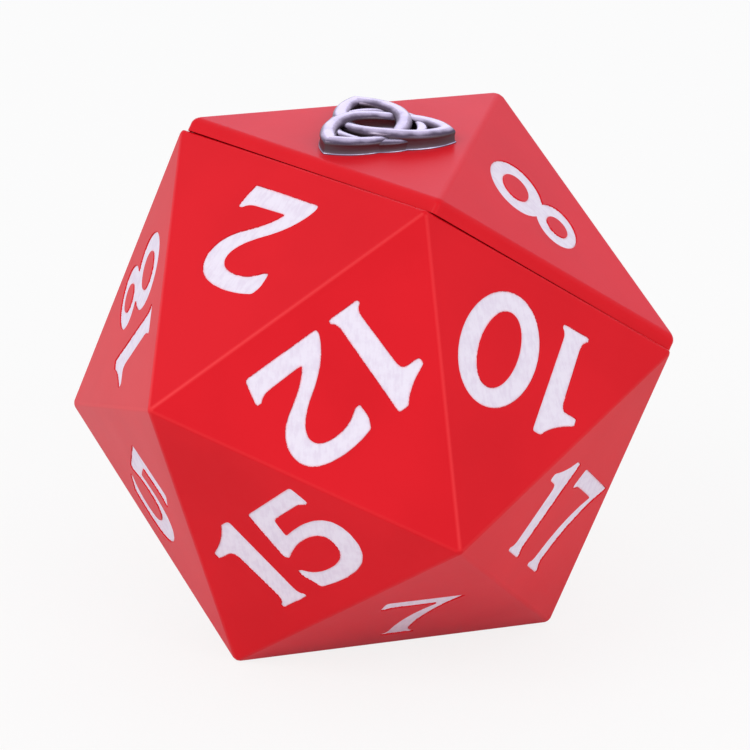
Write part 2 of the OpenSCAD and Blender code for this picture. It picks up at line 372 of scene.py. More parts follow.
@dataclass(frozen=True)
class NumberWhite:
    """Off-white paint, brushed by hand into the sunk numbers.

    Attributes:
        colour: Its colour.
        thin_paint_and_crest_light: Its colour in the brush streaks.
        edge: Its colour where it runs out thin over the red, with painted red bounce light from
            the walls.
        wall_shade: The colour of the painted shade line between it and the wall of the number.
        dust: The colour of the specks on it.
        cover: How far the colours of the edge and the painted wall shade cover it.
        streaks: How the noise of the streaks is stretched on the brush map.
    """

    colour: Colour = srgb(236, 229, 244)
    thin_paint_and_crest_light: Colour = srgb(222, 210, 230)
    edge: Colour = srgb(252, 198, 210)
    wall_shade: Colour = srgb(140, 42, 66)
    dust: Colour = srgb(196, 170, 190)
    cover: float = 0.85
    streaks: tuple[float, float, float] = (1.0, 0.24, 1.0)

    def material(self) -> Material:
        """Builds the paint.

        Returns:
            A material with brush streaks, pink where the paint thins out over the red and from
            painted red bounce light off the walls, and a painted shade line where it meets the
            wall of the number.
        """
        material, wiring, shader = start_material("brushed_number_paint", IOR=1.48)
        link = wiring.tree.links.new
        along = wiring.add("ShaderNodeUVMap", None, uv_map="brush").outputs["UV"]
        stretched = wiring.add("ShaderNodeMapping", {"Vector": along, "Scale": self.streaks})
        streak = wiring.noise(stretched.outputs["Vector"], scale=900, detail=3, rough=0.6)
        blotch = wiring.noise(along, scale=340, detail=3, rough=0.55)
        patchy = wiring.maths("MULTIPLY_ADD", streak, 0.5, wiring.maths("MULTIPLY", blotch, 0.5))
        tone = wiring.blend(wiring.span(patchy, (0.42, 0.62), (0, 0.6)), self.colour, self.thin_paint_and_crest_light)
        ragged = wiring.maths("MULTIPLY_ADD", wiring.noise(along, scale=1400), 0.3, -0.15)
        rim = wiring.maths("ADD", wiring.attribute("rim"), ragged)
        # Pink rim: the paint thinning out over the red, with painted red bounce light from the
        # number's walls.
        tone = wiring.blend(wiring.span(rim, (0.12, 0.5), (0, self.cover)), tone, self.edge)
        # Painted shade: a dark line where the paint meets the shaded wall of the number.
        tone = wiring.blend(wiring.span(rim, (0.6, 0.9), (0, self.cover)), tone, self.wall_shade)
        specks = {"Place": wiring.place(), "Scale": 260.0, "Share": 0.03, "Size": 0.04}
        tone = wiring.blend(SPECKS.put(wiring, specks).outputs["Mask"], tone, self.dust)
        link(tone, shader.inputs["Base Color"])
        link(wiring.span(streak, (0.3, 0.7), (0.5, 0.68)), shader.inputs["Roughness"])
        link(wiring.bump(streak, 0.5, 0.08 * MM), shader.inputs["Normal"])
        return material


@dataclass(frozen=True)
class AntiqueSilver:
    """Silver plate, bright on its crests and darker down its flanks, partly from rubbing and
    partly as painted reflection, with a dark wash left in its hollows and a painted shadow under
    crossings.

    Attributes:
        bright: The colour of the plate on the crests.
        dull: Its colour lower down.
        wash_and_shadow: The colour of the dark wash, and of the painted shadow where a strand
            goes under.
        polish: The roughness of the plate.
        washed: How much rougher the wash is.
    """

    bright: Colour = srgb(208, 203, 215)
    dull: Colour = srgb(88, 79, 90)
    wash_and_shadow: Colour = srgb(52, 28, 36)
    polish: float = 0.18
    washed: float = 0.3

    def material(self) -> Material:
        """Builds the plate.

        Returns:
            A metal whose polish and colour follow the piece's own map of its hollows, which also
            carries painted shade and painted reflection.
        """
        material, wiring, shader = start_material("antique_silver", IOR=2.5)
        place, link = wiring.place(), wiring.tree.links.new
        # Random tarnish patches, which partly stand in for painted reflection, shift the map of
        # hollows.
        patches = wiring.noise(place, scale=230, detail=3)
        wear_and_painted_light = wiring.maths("MULTIPLY_ADD", patches, 0.6, -0.26)
        hollow = wiring.maths("ADD", wiring.attribute("hollow"), wear_and_painted_light)
        # Bright crests and darker flanks, partly rubbed antique finish and partly painted
        # reflection; the deepest parts take the wash, which also paints the shadow where a strand
        # goes under.
        tone = wiring.blend(wiring.span(hollow, (0, 0.5), (0, 1)), self.bright, self.dull)
        deep = wiring.span(hollow, (0.5, 0.85), (0, 1))
        link(wiring.blend(deep, tone, self.wash_and_shadow), shader.inputs["Base Color"])
        uneven = CLOUD.put(wiring, {"Place": place, "Scale": 500.0, "Amount": 0.5})
        polish = wiring.maths("MULTIPLY", uneven.outputs["Share"], self.polish)
        link(wiring.maths("MULTIPLY_ADD", deep, self.washed, polish), shader.inputs["Roughness"])
        link(wiring.span(deep, (0, 1), (1, 0.55)), shader.inputs["Metallic"])
        feeds = {"Place": place, "Fine": 1600.0, "Broad": 350.0, "Strength": 0.5}
        link(SKIN.put(wiring, feeds).outputs["Normal"], shader.inputs["Normal"])
        return material


@dataclass(frozen=True)
class BlackFelt:
    """Thin pressed felt, charcoal, glued inside both halves.

    Attributes:
        colour: Its colour.
        fleck: The colour of its paler fibres.
        roughness: Its roughness, before the slow unevenness.
    """

    colour: Colour = srgb(46, 45, 50)
    fleck: Colour = srgb(74, 72, 80)
    roughness: float = 0.9

    def material(self) -> Material:
        """Builds the felt.

        Returns:
            A rough cloth with matted fibres and a faint nap.
        """
        material, wiring, shader = start_material(
            "charcoal_felt", Sheen_Weight=0.5, Sheen_Roughness=0.5, Specular_IOR_Level=0.2
        )
        place, link = wiring.place(), wiring.tree.links.new
        fibres = wiring.noise(place, scale=1800, detail=4, rough=0.7)
        tone = wiring.blend(wiring.span(fibres, (0.4, 0.7), (0, 1)), self.colour, self.fleck)
        link(tone, shader.inputs["Base Color"])
        uneven = CLOUD.put(wiring, {"Place": place, "Scale": 90.0, "Amount": 0.1})
        rough = wiring.maths("MULTIPLY", uneven.outputs["Share"], self.roughness)
        link(rough, shader.inputs["Roughness"])
        tufts = wiring.noise(place, scale=260, detail=3)
        matted = wiring.maths("MULTIPLY_ADD", tufts, 2.0, fibres)
        link(wiring.bump(matted, 0.8, 0.3 * MM), shader.inputs["Normal"])
        return material


# ---------------------------------------------------------------- mesh helpers


def flat_faces(bm: BMesh, test: Callable[[BMFace], bool]) -> list[BMFace]:
    """The faces of a mesh that pass a test."""
    return [face for face in bm.faces if test(face)]


def of_kind(made: Iterable[object], kind: type[Part]) -> list[Part]:
    """The parts of one kind in what an operator made."""
    return [item for item in made if isinstance(item, kind)]


def turns(edge: BMEdge) -> bool:
    """Whether the surface turns at an edge, so that it is a corner of the form."""
    return edge.calc_face_angle(0) > math.radians(CORNER)


def is_level(edge: BMEdge, level: float) -> bool:
    """Whether both ends of an edge lie at a level."""
    return all(abs(vert.co.z - level) < LEVEL_SLACK for vert in edge.verts)


def soften(bm: BMesh, edges: Iterable[BMEdge], offset: float, segments: int) -> set[BMFace]:
    """Rounds edges over.

    Args:
        bm: The mesh that they belong to.
        edges: The edges to round. Those that an earlier rounding took away are left out.
        offset: How far from the edge the rounding starts, in metres.
        segments: How many strips make the rounding.

    Returns:
        The faces of the rounding.
    """
    made = bmesh.ops.bevel(
        bm,
        geom=[edge for edge in edges if edge.is_valid],
        offset=offset,
        offset_type="OFFSET",
        segments=segments,
        profile=0.5,
        affect="EDGES",
        clamp_overlap=False,
        loop_slide=True,
        material=-1,
    )
    return set(made["faces"])


def mark_crest_highlight(bm: BMesh, faces: set[BMFace], beside: float) -> None:
    """Marks the painted highlight along the crest of a rounded edge in the mesh's crest_highlight
    layer, falling off to its sides.

    Args:
        bm: The mesh.
        faces: The faces of the rounding.
        beside: The mark next to the crest, where the crest has 1.
    """
    layer = bm.verts.layers.float["crest_highlight"]
    inner = {v for face in faces for v in face.verts if all(f in faces for f in v.link_faces)}
    for vert in inner:
        crest = all(edge.other_vert(vert) in inner for edge in vert.link_edges)
        vert[layer] = 1.0 if crest else beside


def fade_crest_highlights(bm: BMesh, low: float, high: float) -> None:
    """Weakens the painted crest highlights where the surface turns down, away from the light
    above.

    Args:
        bm: The mesh, in the row frame.
        low: How far up the surface faces, as the height of its normal, where the marks end.
        high: The same where they are whole.
    """
    bm.normal_update()
    layer = bm.verts.layers.float["crest_highlight"]
    for vert in bm.verts:
        share = (vert.normal.z - low) / (high - low)
        vert[layer] *= min(1.0, max(0.0, share))


def merged_copy(node: str) -> BMesh:
    """A CAD node's mesh with its loose triangles joined into whole flat faces.

    Args:
        node: The node's name.

    Returns:
        A new mesh in the row frame.
    """
    bm = bmesh.new()
    bm.from_mesh(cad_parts[node].data)
    bmesh.ops.remove_doubles(bm, verts=bm.verts, dist=MERGE)
    limit = math.radians(COPLANAR)
    bmesh.ops.dissolve_limit(bm, angle_limit=limit, verts=bm.verts, edges=bm.edges)
    bm.normal_update()
    return bm


def mark_flat(bm: BMesh) -> None:
    """Marks the flat faces of a casting, whose shading is to stay flat up to their edges.

    Args:
        bm: The casting. Its faces get a layer that holds 1 where they are flat.
    """
    bm.normal_update()
    ways: list[Vector] = []
    for face in bm.faces:
        if face.calc_area() > BROAD and all(face.normal.dot(way) < ALIKE for way in ways):
            ways.append(face.normal.copy())
    layer = bm.faces.layers.int.new(FLAT_LAYER)
    for face in bm.faces:
        face[layer] = int(any(face.normal.dot(way) > ALIKE for way in ways))


def split_broad(bm: BMesh) -> None:
    """Splits every face of more than four corners into triangles, so that its holes stay open."""
    bmesh.ops.triangulate(bm, faces=flat_faces(bm, lambda face: len(face.verts) > 4))


def as_mesh(name: str, bm: BMesh) -> Mesh:
    """Turns a bmesh into a mesh and frees it.

    Args:
        name: The mesh's name.
        bm: The bmesh.

    Returns:
        The mesh.
    """
    mesh = bpy.data.meshes.new(name)
    bm.to_mesh(mesh)
    bm.free()
    return mesh


def pour(source: BMesh, into: BMesh) -> None:
    """Adds all of one mesh to another, and frees it.

    Args:
        source: The mesh that is added.
        into: The mesh that takes it.
    """
    mesh = as_mesh("poured", source)
    into.from_mesh(mesh)
    bpy.data.meshes.remove(mesh)


def as_object(name: str, data: ID) -> Object:
    """Puts a mesh, a lamp or a camera in the scene as an object at the origin.

    Args:
        name: The object's name.
        data: The mesh, lamp or camera.

    Returns:
        The object.
    """
    obj = bpy.data.objects.new(name, data)
    bpy.context.scene.collection.objects.link(obj)
    return obj


def cut_away(mesh: Mesh, cutter: Mesh) -> Mesh:
    """Takes one closed mesh out of another.

    Args:
        mesh: The solid that is cut.
        cutter: The solid that is taken out. It is removed afterwards.

    Returns:
        The cut mesh.
    """
    kept, tool = as_object("cut_body", mesh), as_object("cut_tool", cutter)
    modifier = kept.modifiers.new("cut", "BOOLEAN")
    modifier.operation, modifier.solver, modifier.object = "DIFFERENCE", "EXACT", tool
    evaluated = kept.evaluated_get(bpy.context.evaluated_depsgraph_get())
    result = bpy.data.meshes.new_from_object(evaluated)
    for obj in (kept, tool):
        bpy.data.objects.remove(obj)
    for used in (mesh, cutter):
        bpy.data.meshes.remove(used)
    return result


def lay_normals(mesh: Mesh, crease: float) -> None:
    """Shades a casting so that its flat faces stay flat and its roundings run out into them.

    Args:
        mesh: The casting, with its flat faces marked.
        crease: The angle, in radians, above which an edge stays sharp.
    """
    marks = mesh.attributes[FLAT_LAYER]
    flat = [bool(item.value) for item in marks.data]
    ways = [polygon.normal.copy() for polygon in mesh.polygons]
    areas = [polygon.area for polygon in mesh.polygons]
    around: list[list[int]] = [[] for _ in mesh.vertices]
    for polygon in mesh.polygons:
        for vert in polygon.vertices:
            around[vert].append(polygon.index)
    limit, corners = math.cos(crease), []
    for polygon in mesh.polygons:
        own = ways[polygon.index]
        for vert in polygon.vertices:
            alike = [index for index in around[vert] if ways[index].dot(own) > limit]
            lead = [index for index in alike if flat[index]] or alike
            total = sum((ways[index] * areas[index] for index in lead), Vector())
            keep = flat[polygon.index] or total.length_squared == 0
            corners.append(own if keep else total.normalized())
    mesh.normals_split_custom_set(corners)
    mesh.attributes.remove(marks)


def hand_over(
    name: str,
    mesh: Mesh,
    material: Material,
    body: Body,
    node: str,
    crease: float = 32.0,
) -> Object:
    """Makes a finished piece of a mesh, in place of a CAD node.

    Args:
        name: The piece's name.
        mesh: Its mesh, in the row frame.
        material: Its finish.
        body: The half that it moves with.
        node: The CAD node that it stands for.
        crease: The angle, in degrees, above which an edge stays sharp.

    Returns:
        The piece.
    """
    obj = as_object(name, mesh)
    mesh.name = name
    mesh.materials.clear()
    mesh.materials.append(material)
    mesh.shade_smooth()
    if FLAT_LAYER in mesh.attributes:
        lay_normals(mesh, math.radians(crease))
    else:
        mesh.set_sharp_from_angle(angle=math.radians(crease))
        weighted = obj.modifiers.new("weighted_normals", "WEIGHTED_NORMAL")
        weighted.keep_sharp, weighted.weight = True, 100
    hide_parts(node)
    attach(obj, body.value)
    LOG.info("%s: %d faces on %s", name, len(mesh.polygons), body.value)
    return obj


# ---------------------------------------------------------------- the die's form


@dataclass(frozen=True)
class DieForm:
    """The regular twenty-sided form that both halves are cut from, and the lid's size on it.

    Attributes:
        edge: The length of every edge.
        wall: The thickness of the castings, square to a face.
        band: The height of the upright band round the foot of the lid.
        inset: How far the band stands in from the edge of the base.
        point_drop: How much lower the lid's point is than the base's faces would meet.
        seam: The gap between the halves.
        turn: How far round its axis the lid was put on.
    """

    edge: float = 86 * MM
    wall: float = 6 * MM
    band: float = 3.8 * MM
    inset: float = 0.8 * MM
    point_drop: float = 1.4 * MM
    seam: float = 0.2 * MM
    turn: float = math.radians(1.493)

    @property
    def inradius(self) -> float:
        """From the centre to the middle of a face."""
        return self.edge * GOLDEN**2 / (2 * math.sqrt(3))

    @property
    def corner_radius(self) -> float:
        """From the centre to a corner."""
        return self.edge * math.sqrt(GOLDEN * math.sqrt(5)) / 2

    @property
    def tilt(self) -> float:
        """From the direction of a face's middle to that of its corners."""
        return math.acos(self.inradius / self.corner_radius)

    @property
    def seam_level(self) -> float:
        """From the centre up the lid's axis to the plane where the halves part."""
        return self.corner_radius / math.sqrt(5)

    @property
    def rim_apothem(self) -> float:
        """From the lid's axis to the outside of its band."""
        return 2 * self.seam_level * math.cos(math.pi / 5) - self.inset

    @property
    def rim_radius(self) -> float:
        """From the lid's axis to a corner of its band."""
        return self.rim_apothem / math.cos(math.pi / 5)

    @property
    def cap_height(self) -> float:
        """From the top of the band up to the lid's point."""
        return self.rim_apothem * math.tan(self.tilt) - self.point_drop

    @property
    def side_lean(self) -> float:
        """How far the base's walls at the seam lean in towards the lid."""
        return math.asin(self.seam_level / 3 / self.inradius)

    @property
    def to_row(self) -> Matrix:
        """From the lid's frame, its axis along +Z and one corner along +X, to the row frame."""
        lift = Matrix.Translation((0, 0, self.inradius))
        return lift @ Matrix.Rotation(-self.tilt, 4, "X") @ Matrix.Rotation(math.pi / 2, 4, "Z")

    @property
    def lid_to_row(self) -> Matrix:
        """From the lid's frame to the row frame, with the turn that the lid was put on with."""
        return self.to_row @ Matrix.Rotation(self.turn, 4, "Z")


@dataclass(frozen=True)
class NumberForm:
    """The outline of one sunk number: the CAD's paint fill with its curves and corners eased.

    Attributes:
        number: The number.
        pitch: The longest piece that the outline's edges are first cut into.
        rounds: How often the outline is halved again and eased.
        passes: How often it is eased after that.
    """

    number: int
    pitch: float = 1.2 * MM
    rounds: int = 2
    passes: int = 5

    @property
    def node(self) -> str:
        """The CAD node that holds the number's paint."""
        return f"number_{self.number}"

    def solid(self) -> tuple[BMesh, Vector]:
        """The fill as a prism.

        Returns:
            The prism and the direction out of the face that it lies in.
        """
        bm = merged_copy(self.node)
        out = self._outward(bm)
        levels = [vert.co.dot(out) for vert in bm.verts]
        spare = flat_faces(bm, lambda face: face.normal.dot(out) > -FACING)
        bmesh.ops.delete(bm, geom=spare, context="FACES")
        inner = [edge for edge in bm.edges if not edge.is_boundary]
        bmesh.ops.delete(bm, geom=bm.faces[:], context="FACES_ONLY")
        bmesh.ops.delete(bm, geom=inner, context="EDGES")
        self._part(bm, lambda edge: int(edge.calc_length() / self.pitch))
        for _ in range(self.rounds):
            self._part(bm, lambda edge: 1)
            self._relax(bm)
        for _ in range(self.passes):
            self._relax(bm)
        bmesh.ops.triangle_fill(bm, edges=bm.edges[:], use_beauty=True, normal=out)
        made = bmesh.ops.extrude_face_region(bm, geom=bm.faces[:])["geom"]
        thickness = max(levels) - min(levels)
        bmesh.ops.translate(bm, verts=of_kind(made, BMVert), vec=out * thickness)
        bmesh.ops.recalc_face_normals(bm, faces=bm.faces)
        bm.normal_update()
        return bm, out

    @staticmethod
    def _outward(bm: BMesh) -> Vector:
        """The direction out of the die's face, from the middle of the die.

        Args:
            bm: The number's fill, whose largest face is parallel to the die's.

        Returns:
            The direction, of length 1.
        """
        best = max(bm.faces, key=lambda face: face.calc_area())
        centre = Vector((0, 0, FORM.inradius))
        normal = best.normal.copy()
        return normal if normal.dot(best.calc_center_median() - centre) > 0 else -normal

    @staticmethod
    def _part(bm: BMesh, wanted: Callable[[BMEdge], int]) -> None:
        """Cuts each edge of the outline evenly, by the number of cuts that it is given.

        Args:
            bm: The outline.
            wanted: Gives the number of cuts of an edge.
        """
        cuts: dict[int, list[BMEdge]] = {}
        for edge in bm.edges:
            cuts.setdefault(wanted(edge), []).append(edge)
        for count, edges in cuts.items():
            if count:
                bmesh.ops.bisect_edges(bm, edges=edges, cuts=count)

    @staticmethod
    def _relax(bm: BMesh) -> None:
        """Moves every point of the outline a little towards the middle of its neighbours.

        Args:
            bm: The outline, closed loops of edges.
        """
        moved = {}
        for vert in bm.verts:
            before, after = (edge.other_vert(vert) for edge in vert.link_edges)
            moved[vert] = (vert.co * 2 + before.co + after.co) / 4
        for vert, place in moved.items():
            vert.co = place


@dataclass(frozen=True)
class NumberCut:
    """The sunk numbers of one half, cut with prisms drawn out of the paint fills.

    Attributes:
        numbers: The numbers.
        depth: From the face down to the floor of a number.
        reach: How far a prism stands out of the face.
        lip: The radius of the rounded lip round a number.
        lip_turns: The angles, in degrees, at which the lip's rounding has its rings.
        spare: How far the lip's rings are drawn past the face, so that none lies in it.
        clear: The most that the lip takes of the room between two runs of an outline.
    """

    numbers: tuple[int, ...]
    depth: float = 1.0 * MM
    reach: float = 1.5 * MM
    lip: float = 0.15 * MM
    lip_turns: tuple[int, ...] = (0, 30, 60, 90)
    spare: float = 0.02 * MM
    clear: float = 0.3

    def prisms(self) -> BMesh:
        """All the cutting prisms in one mesh.

        Returns:
            The prisms, each of them closed.
        """
        whole = bmesh.new()
        for number in self.numbers:
            pour(self._prism(number), whole)
        return whole

    def _prism(self, number: int) -> BMesh:
        """One number's prism, flared at the surface so that it leaves a rounded lip.

        Args:
            number: The number.

        Returns:
            The prism, from the floor of the number to well outside the die's face.
        """
        bm, out = NumberForm(number).solid()
        levels = [vert.co.dot(out) for vert in bm.verts]
        rise = self.depth - self.lip - (max(levels) - min(levels))
        cap = flat_faces(bm, lambda face: face.normal.dot(out) > FACING)
        self._shift(cap, out, rise, 0)
        turned = [math.radians(turn) for turn in self.lip_turns]
        flare = [(math.sin(turn), 1 - math.cos(turn)) for turn in turned]
        over = self.spare / (len(flare) - 1)
        for (low, near), (high, far) in zip(flare, flare[1:]):
            cap = self._draw_out(bm, cap)
            self._shift(cap, out, (high - low) * self.lip + over, far - near)
        cap = self._draw_out(bm, cap)
        self._shift(cap, out, self.reach, 0)
        bmesh.ops.delete(bm, geom=cap, context="FACES")
        ends = [edge for edge in bm.edges if edge.is_boundary]
        bmesh.ops.triangle_fill(bm, edges=ends, use_beauty=True, normal=out)
        bmesh.ops.triangulate(bm, faces=bm.faces)
        bmesh.ops.recalc_face_normals(bm, faces=bm.faces)
        return bm

    @staticmethod
    def _draw_out(bm: BMesh, cap: list[BMFace]) -> list[BMFace]:
        """Puts walls round the cap, and returns the cap at their top, still in its place.

        Args:
            bm: The prism.
            cap: The faces of its cap, which are taken away.

        Returns:
            The faces of the new cap.
        """
        made = bmesh.ops.extrude_face_region(bm, geom=cap)["geom"]
        bmesh.ops.delete(bm, geom=cap, context="FACES")
        return of_kind(made, BMFace)

    def _shift(self, cap: list[BMFace], out: Vector, rise: float, spread: float) -> None:
        """Moves the cap outwards and widens its outline, less where two runs of it lie close.

        Args:
            cap: The faces of the cap, whose corners all lie on its outline.
            out: The direction out of the die's face.
            rise: How far the cap moves that way.
            spread: How far its outline moves sideways, as a share of the lip.
        """
        faces = set(cap)
        sideways: dict[BMVert, Vector] = {}
        for face in cap:
            for loop in face.loops:
                if loop.link_loop_radial_next.face in faces:
                    continue
                way = (loop.link_loop_next.vert.co - loop.vert.co).cross(out).normalized()
                for vert in loop.edge.verts:
                    sideways[vert] = sideways.get(vert, Vector()) + way
        near = KDTree(len(sideways))
        for index, vert in enumerate(sideways):
            near.insert(vert.co, index)
        near.balance()
        for vert, way in sideways.items():
            room = near.find_n(vert.co, 4)[-1][2] * self.clear
            width = min(self.lip, room) * spread
            vert.co += out * rise + way * (2 * width / max(1.0, way.length_squared))

    def cut(self, mesh: Mesh, extra: BMesh | None = None) -> Mesh:
        """Sinks the numbers into a shell.

        Args:
            mesh: The shell.
            extra: More to take out, such as peg holes.

        Returns:
            The cut shell.
        """
        prisms = self.prisms()
        if extra is not None:
            pour(extra, prisms)
        result = cut_away(mesh, as_mesh("prisms", prisms))
        bm = bmesh.new()
        bm.from_mesh(result)
        bmesh.ops.remove_doubles(bm, verts=bm.verts, dist=MERGE)
        mark_flat(bm)
        split_broad(bm)
        bm.to_mesh(result)
        bm.free()
        return result


FORM = DieForm()


@dataclass
class BaseShell:
    """The hollow lower casting, fifteen faces of the die.

    Attributes:
        soft_edge: The rounding of the edges outside.
        inner_soft: The rounding of the edges of the cavity.
        mouth_soft: The rounding of the rim of the mouth.
        beside: The painted highlight mark beside a crest.
        wear_and_painted_light: How far up the surface faces where the painted crest highlights
            end and where they are whole.
        numbers: The numbers on it.
    """

    soft_edge: float = 0.78 * MM
    inner_soft: float = 0.9 * MM
    mouth_soft: float = 0.5 * MM
    beside: float = 0.4
    wear_and_painted_light: tuple[float, float] = (-0.15, 0.3)
    numbers: tuple[int, ...] = (1, 2, 3, 4, 5, 7, 9, 10, 11, 12, 13, 15, 17, 18, 19)

    def _open_die(self, bm: BMesh, radius: float) -> tuple[list[BMEdge], list[BMEdge]]:
        """Adds a die without the five faces round its top corner.

        Args:
            bm: The mesh to add to.
            radius: The radius of the die's corners.

        Returns:
            All its edges, and those round the opening.
        """
        made = bmesh.ops.create_icosphere(bm, subdivisions=1, radius=radius)["verts"]
        top = max(made, key=lambda vert: vert.co.z)
        rest = [vert for vert in made if vert is not top]
        bmesh.ops.delete(bm, geom=[top], context="VERTS")
        edges = list(dict.fromkeys(edge for vert in rest for edge in vert.link_edges))
        return edges, [edge for edge in edges if edge.is_boundary]

    def mesh(self) -> Mesh:
        """The casting, with its cavity, its rim and its sunk numbers.

        Returns:
            The mesh, in the row frame.
        """
        bm = bmesh.new()
        bm.verts.layers.float.new("crest_highlight")
        outer, outer_ring = self._open_die(bm, FORM.corner_radius)
        share = (FORM.inradius - FORM.wall) / FORM.inradius
        inner, inner_ring = self._open_die(bm, FORM.corner_radius * share)
        lining = {face for edge in inner for face in edge.link_faces}
        bmesh.ops.reverse_faces(bm, faces=list(lining))
        lean = FORM.side_lean
        apothem = (FORM.inradius - FORM.wall - FORM.seam_level * math.sin(lean)) / math.cos(lean)
        verts = of_kind(bmesh.ops.extrude_edge_only(bm, edges=inner_ring)["geom"], BMVert)
        growth = apothem / (2 * FORM.seam_level * share * math.cos(math.pi / 5))
        for vert in verts:
            vert.co.z = FORM.seam_level
        bmesh.ops.scale(bm, verts=verts, vec=(growth, growth, 1))
        mouth = [edge for edge in bm.edges if edge.is_boundary and edge.verts[0] in verts]
        walls = [edge for edge in bm.edges if edge not in outer and not edge.is_boundary]
        bmesh.ops.bridge_loops(bm, edges=outer_ring + mouth)
        bmesh.ops.recalc_face_normals(bm, faces=bm.faces)
        self._round(bm, outer, walls)
        bm.transform(FORM.to_row)
        # The painted crest highlights weaken where the surface turns down, away from the light
        # above.
        fade_crest_highlights(bm, *self.wear_and_painted_light)
        return NumberCut(self.numbers).cut(as_mesh("base_shell", bm))

    def _round(self, bm: BMesh, outer: list[BMEdge], walls: list[BMEdge]) -> None:
        """Rounds the cavity, its mouth and the outside in turn.

        Args:
            bm: The casting.
            outer: The edges of the outside, with those at the seam.
            walls: The edges of the cavity and of the wall up to its mouth.
        """
        outside = set(outer)
        soften(bm, [edge for edge in walls if turns(edge)], self.inner_soft, segments=3)
        seam = [edge for edge in bm.edges if is_level(edge, FORM.seam_level) and turns(edge)]
        soften(bm, [edge for edge in seam if edge not in outside], self.mouth_soft, segments=2)
        made = soften(bm, outer, self.soft_edge, segments=4)
        # Painted highlight along the outer crests below the seam.
        level = FORM.seam_level - self.soft_edge
        crests = {face for face in made if face.calc_center_median().z < level}
        mark_crest_highlight(bm, crests, self.beside)

    def build(self, material: Material) -> Object:
        """Makes the piece."""
        mesh = self.mesh()
        return hand_over("base_casting", mesh, material, Body.BASE, "base_shell")


@dataclass
class LidShell:
    """The lid casting: five faces, an upright band and the lip that drops into the base.

    Attributes:
        lip_height: How deep the lip drops into the base.
        lip_wall: The thickness of the lip.
        lip_apothem: From the lid's axis to the outside of the lip.
        soft_edge: The rounding of the edges of the faces and the band.
        hem_soft: The rounding of the edges that rest on the base.
        small_soft: The rounding of the lip.
        blunt: The size of the small flat at the top of the hollow.
        numbers: The numbers on it.
    """

    lip_height: float = 6 * MM
    lip_wall: float = 2.5 * MM
    lip_apothem: float = 51.876 * MM
    soft_edge: float = 1.15 * MM
    hem_soft: float = 0.7 * MM
    small_soft: float = 0.35 * MM
    blunt: float = 0.6 * MM
    numbers: tuple[int, ...] = (6, 8, 14, 16)

    def mesh(self) -> Mesh:
        """The casting, hollow, with its sunk numbers and the holes for the badge's pegs.

        Returns:
            The mesh, in the row frame.
        """
        bm = bmesh.new()
        bm.verts.layers.float.new("crest_highlight")
        made = bmesh.ops.create_cone(
            bm,
            cap_ends=True,
            segments=5,
            radius1=FORM.rim_radius,
            radius2=0,
            depth=FORM.cap_height,
            matrix=Matrix.Translation((0, 0, FORM.seam_level + FORM.band + FORM.cap_height / 2))
            @ Matrix.Rotation(-math.pi / 2, 4, "Z"),
        )
        bmesh.ops.remove_doubles(bm, verts=made["verts"], dist=MERGE)
        foot = min(bm.faces, key=lambda face: face.normal.z)
        rests_at = FORM.seam_level + FORM.seam
        foot = self._pull(bm, foot, rests_at)
        crown = [edge for edge in bm.edges if not is_level(edge, rests_at)]
        self._narrow(bm, foot, FORM.rim_apothem - self.lip_apothem)
        lip_start = set(bm.edges)
        foot = self._pull(bm, foot, FORM.seam_level - self.lip_height)
        self._narrow(bm, foot, self.lip_wall)
        lip = [edge for edge in bm.edges if edge not in lip_start and turns(edge)]
        lean = FORM.cap_height / FORM.rim_apothem
        point = FORM.seam_level + FORM.band + FORM.cap_height - FORM.wall * math.hypot(1, lean)
        room = self.lip_apothem - self.lip_wall
        foot = self._pull(bm, foot, point - room * lean)
        foot = self._pull(bm, foot, point - self.blunt * lean)
        share = self.blunt / room
        bmesh.ops.scale(bm, verts=foot.verts[:], vec=(share, share, 1))
        bmesh.ops.recalc_face_normals(bm, faces=bm.faces)
        soften(bm, lip, self.small_soft, segments=2)
        hem = [edge for edge in bm.edges if is_level(edge, rests_at) and turns(edge)]
        soften(bm, crown, self.soft_edge, segments=4)
        soften(bm, hem, self.hem_soft, segments=3)
        bm.transform(FORM.lid_to_row)
        return NumberCut(self.numbers).cut(as_mesh("lid_shell", bm), BADGE.peg_holes())

    @staticmethod
    def _pull(bm: BMesh, face: BMFace, level: float) -> BMFace:
        """Draws a face out to another level, and returns it there.

        Args:
            bm: The casting.
            face: The face.
            level: The height that its corners get.

        Returns:
            The face at the new level.
        """
        made = bmesh.ops.extrude_face_region(bm, geom=[face])["geom"]
        for vert in of_kind(made, BMVert):
            vert.co.z = level
        bmesh.ops.delete(bm, geom=[face], context="FACES_ONLY")
        return of_kind(made, BMFace)[0]

    @staticmethod
    def _narrow(bm: BMesh, face: BMFace, by: float) -> None:
        """Draws the outline of a face in by a distance."""
        bmesh.ops.inset_region(bm, faces=[face], thickness=by, use_even_offset=True)

    def build(self, material: Material) -> Object:
        """Makes the piece."""
        mesh = self.mesh()
        return hand_over("lid_casting", mesh, material, Body.LID, "lid_shell")


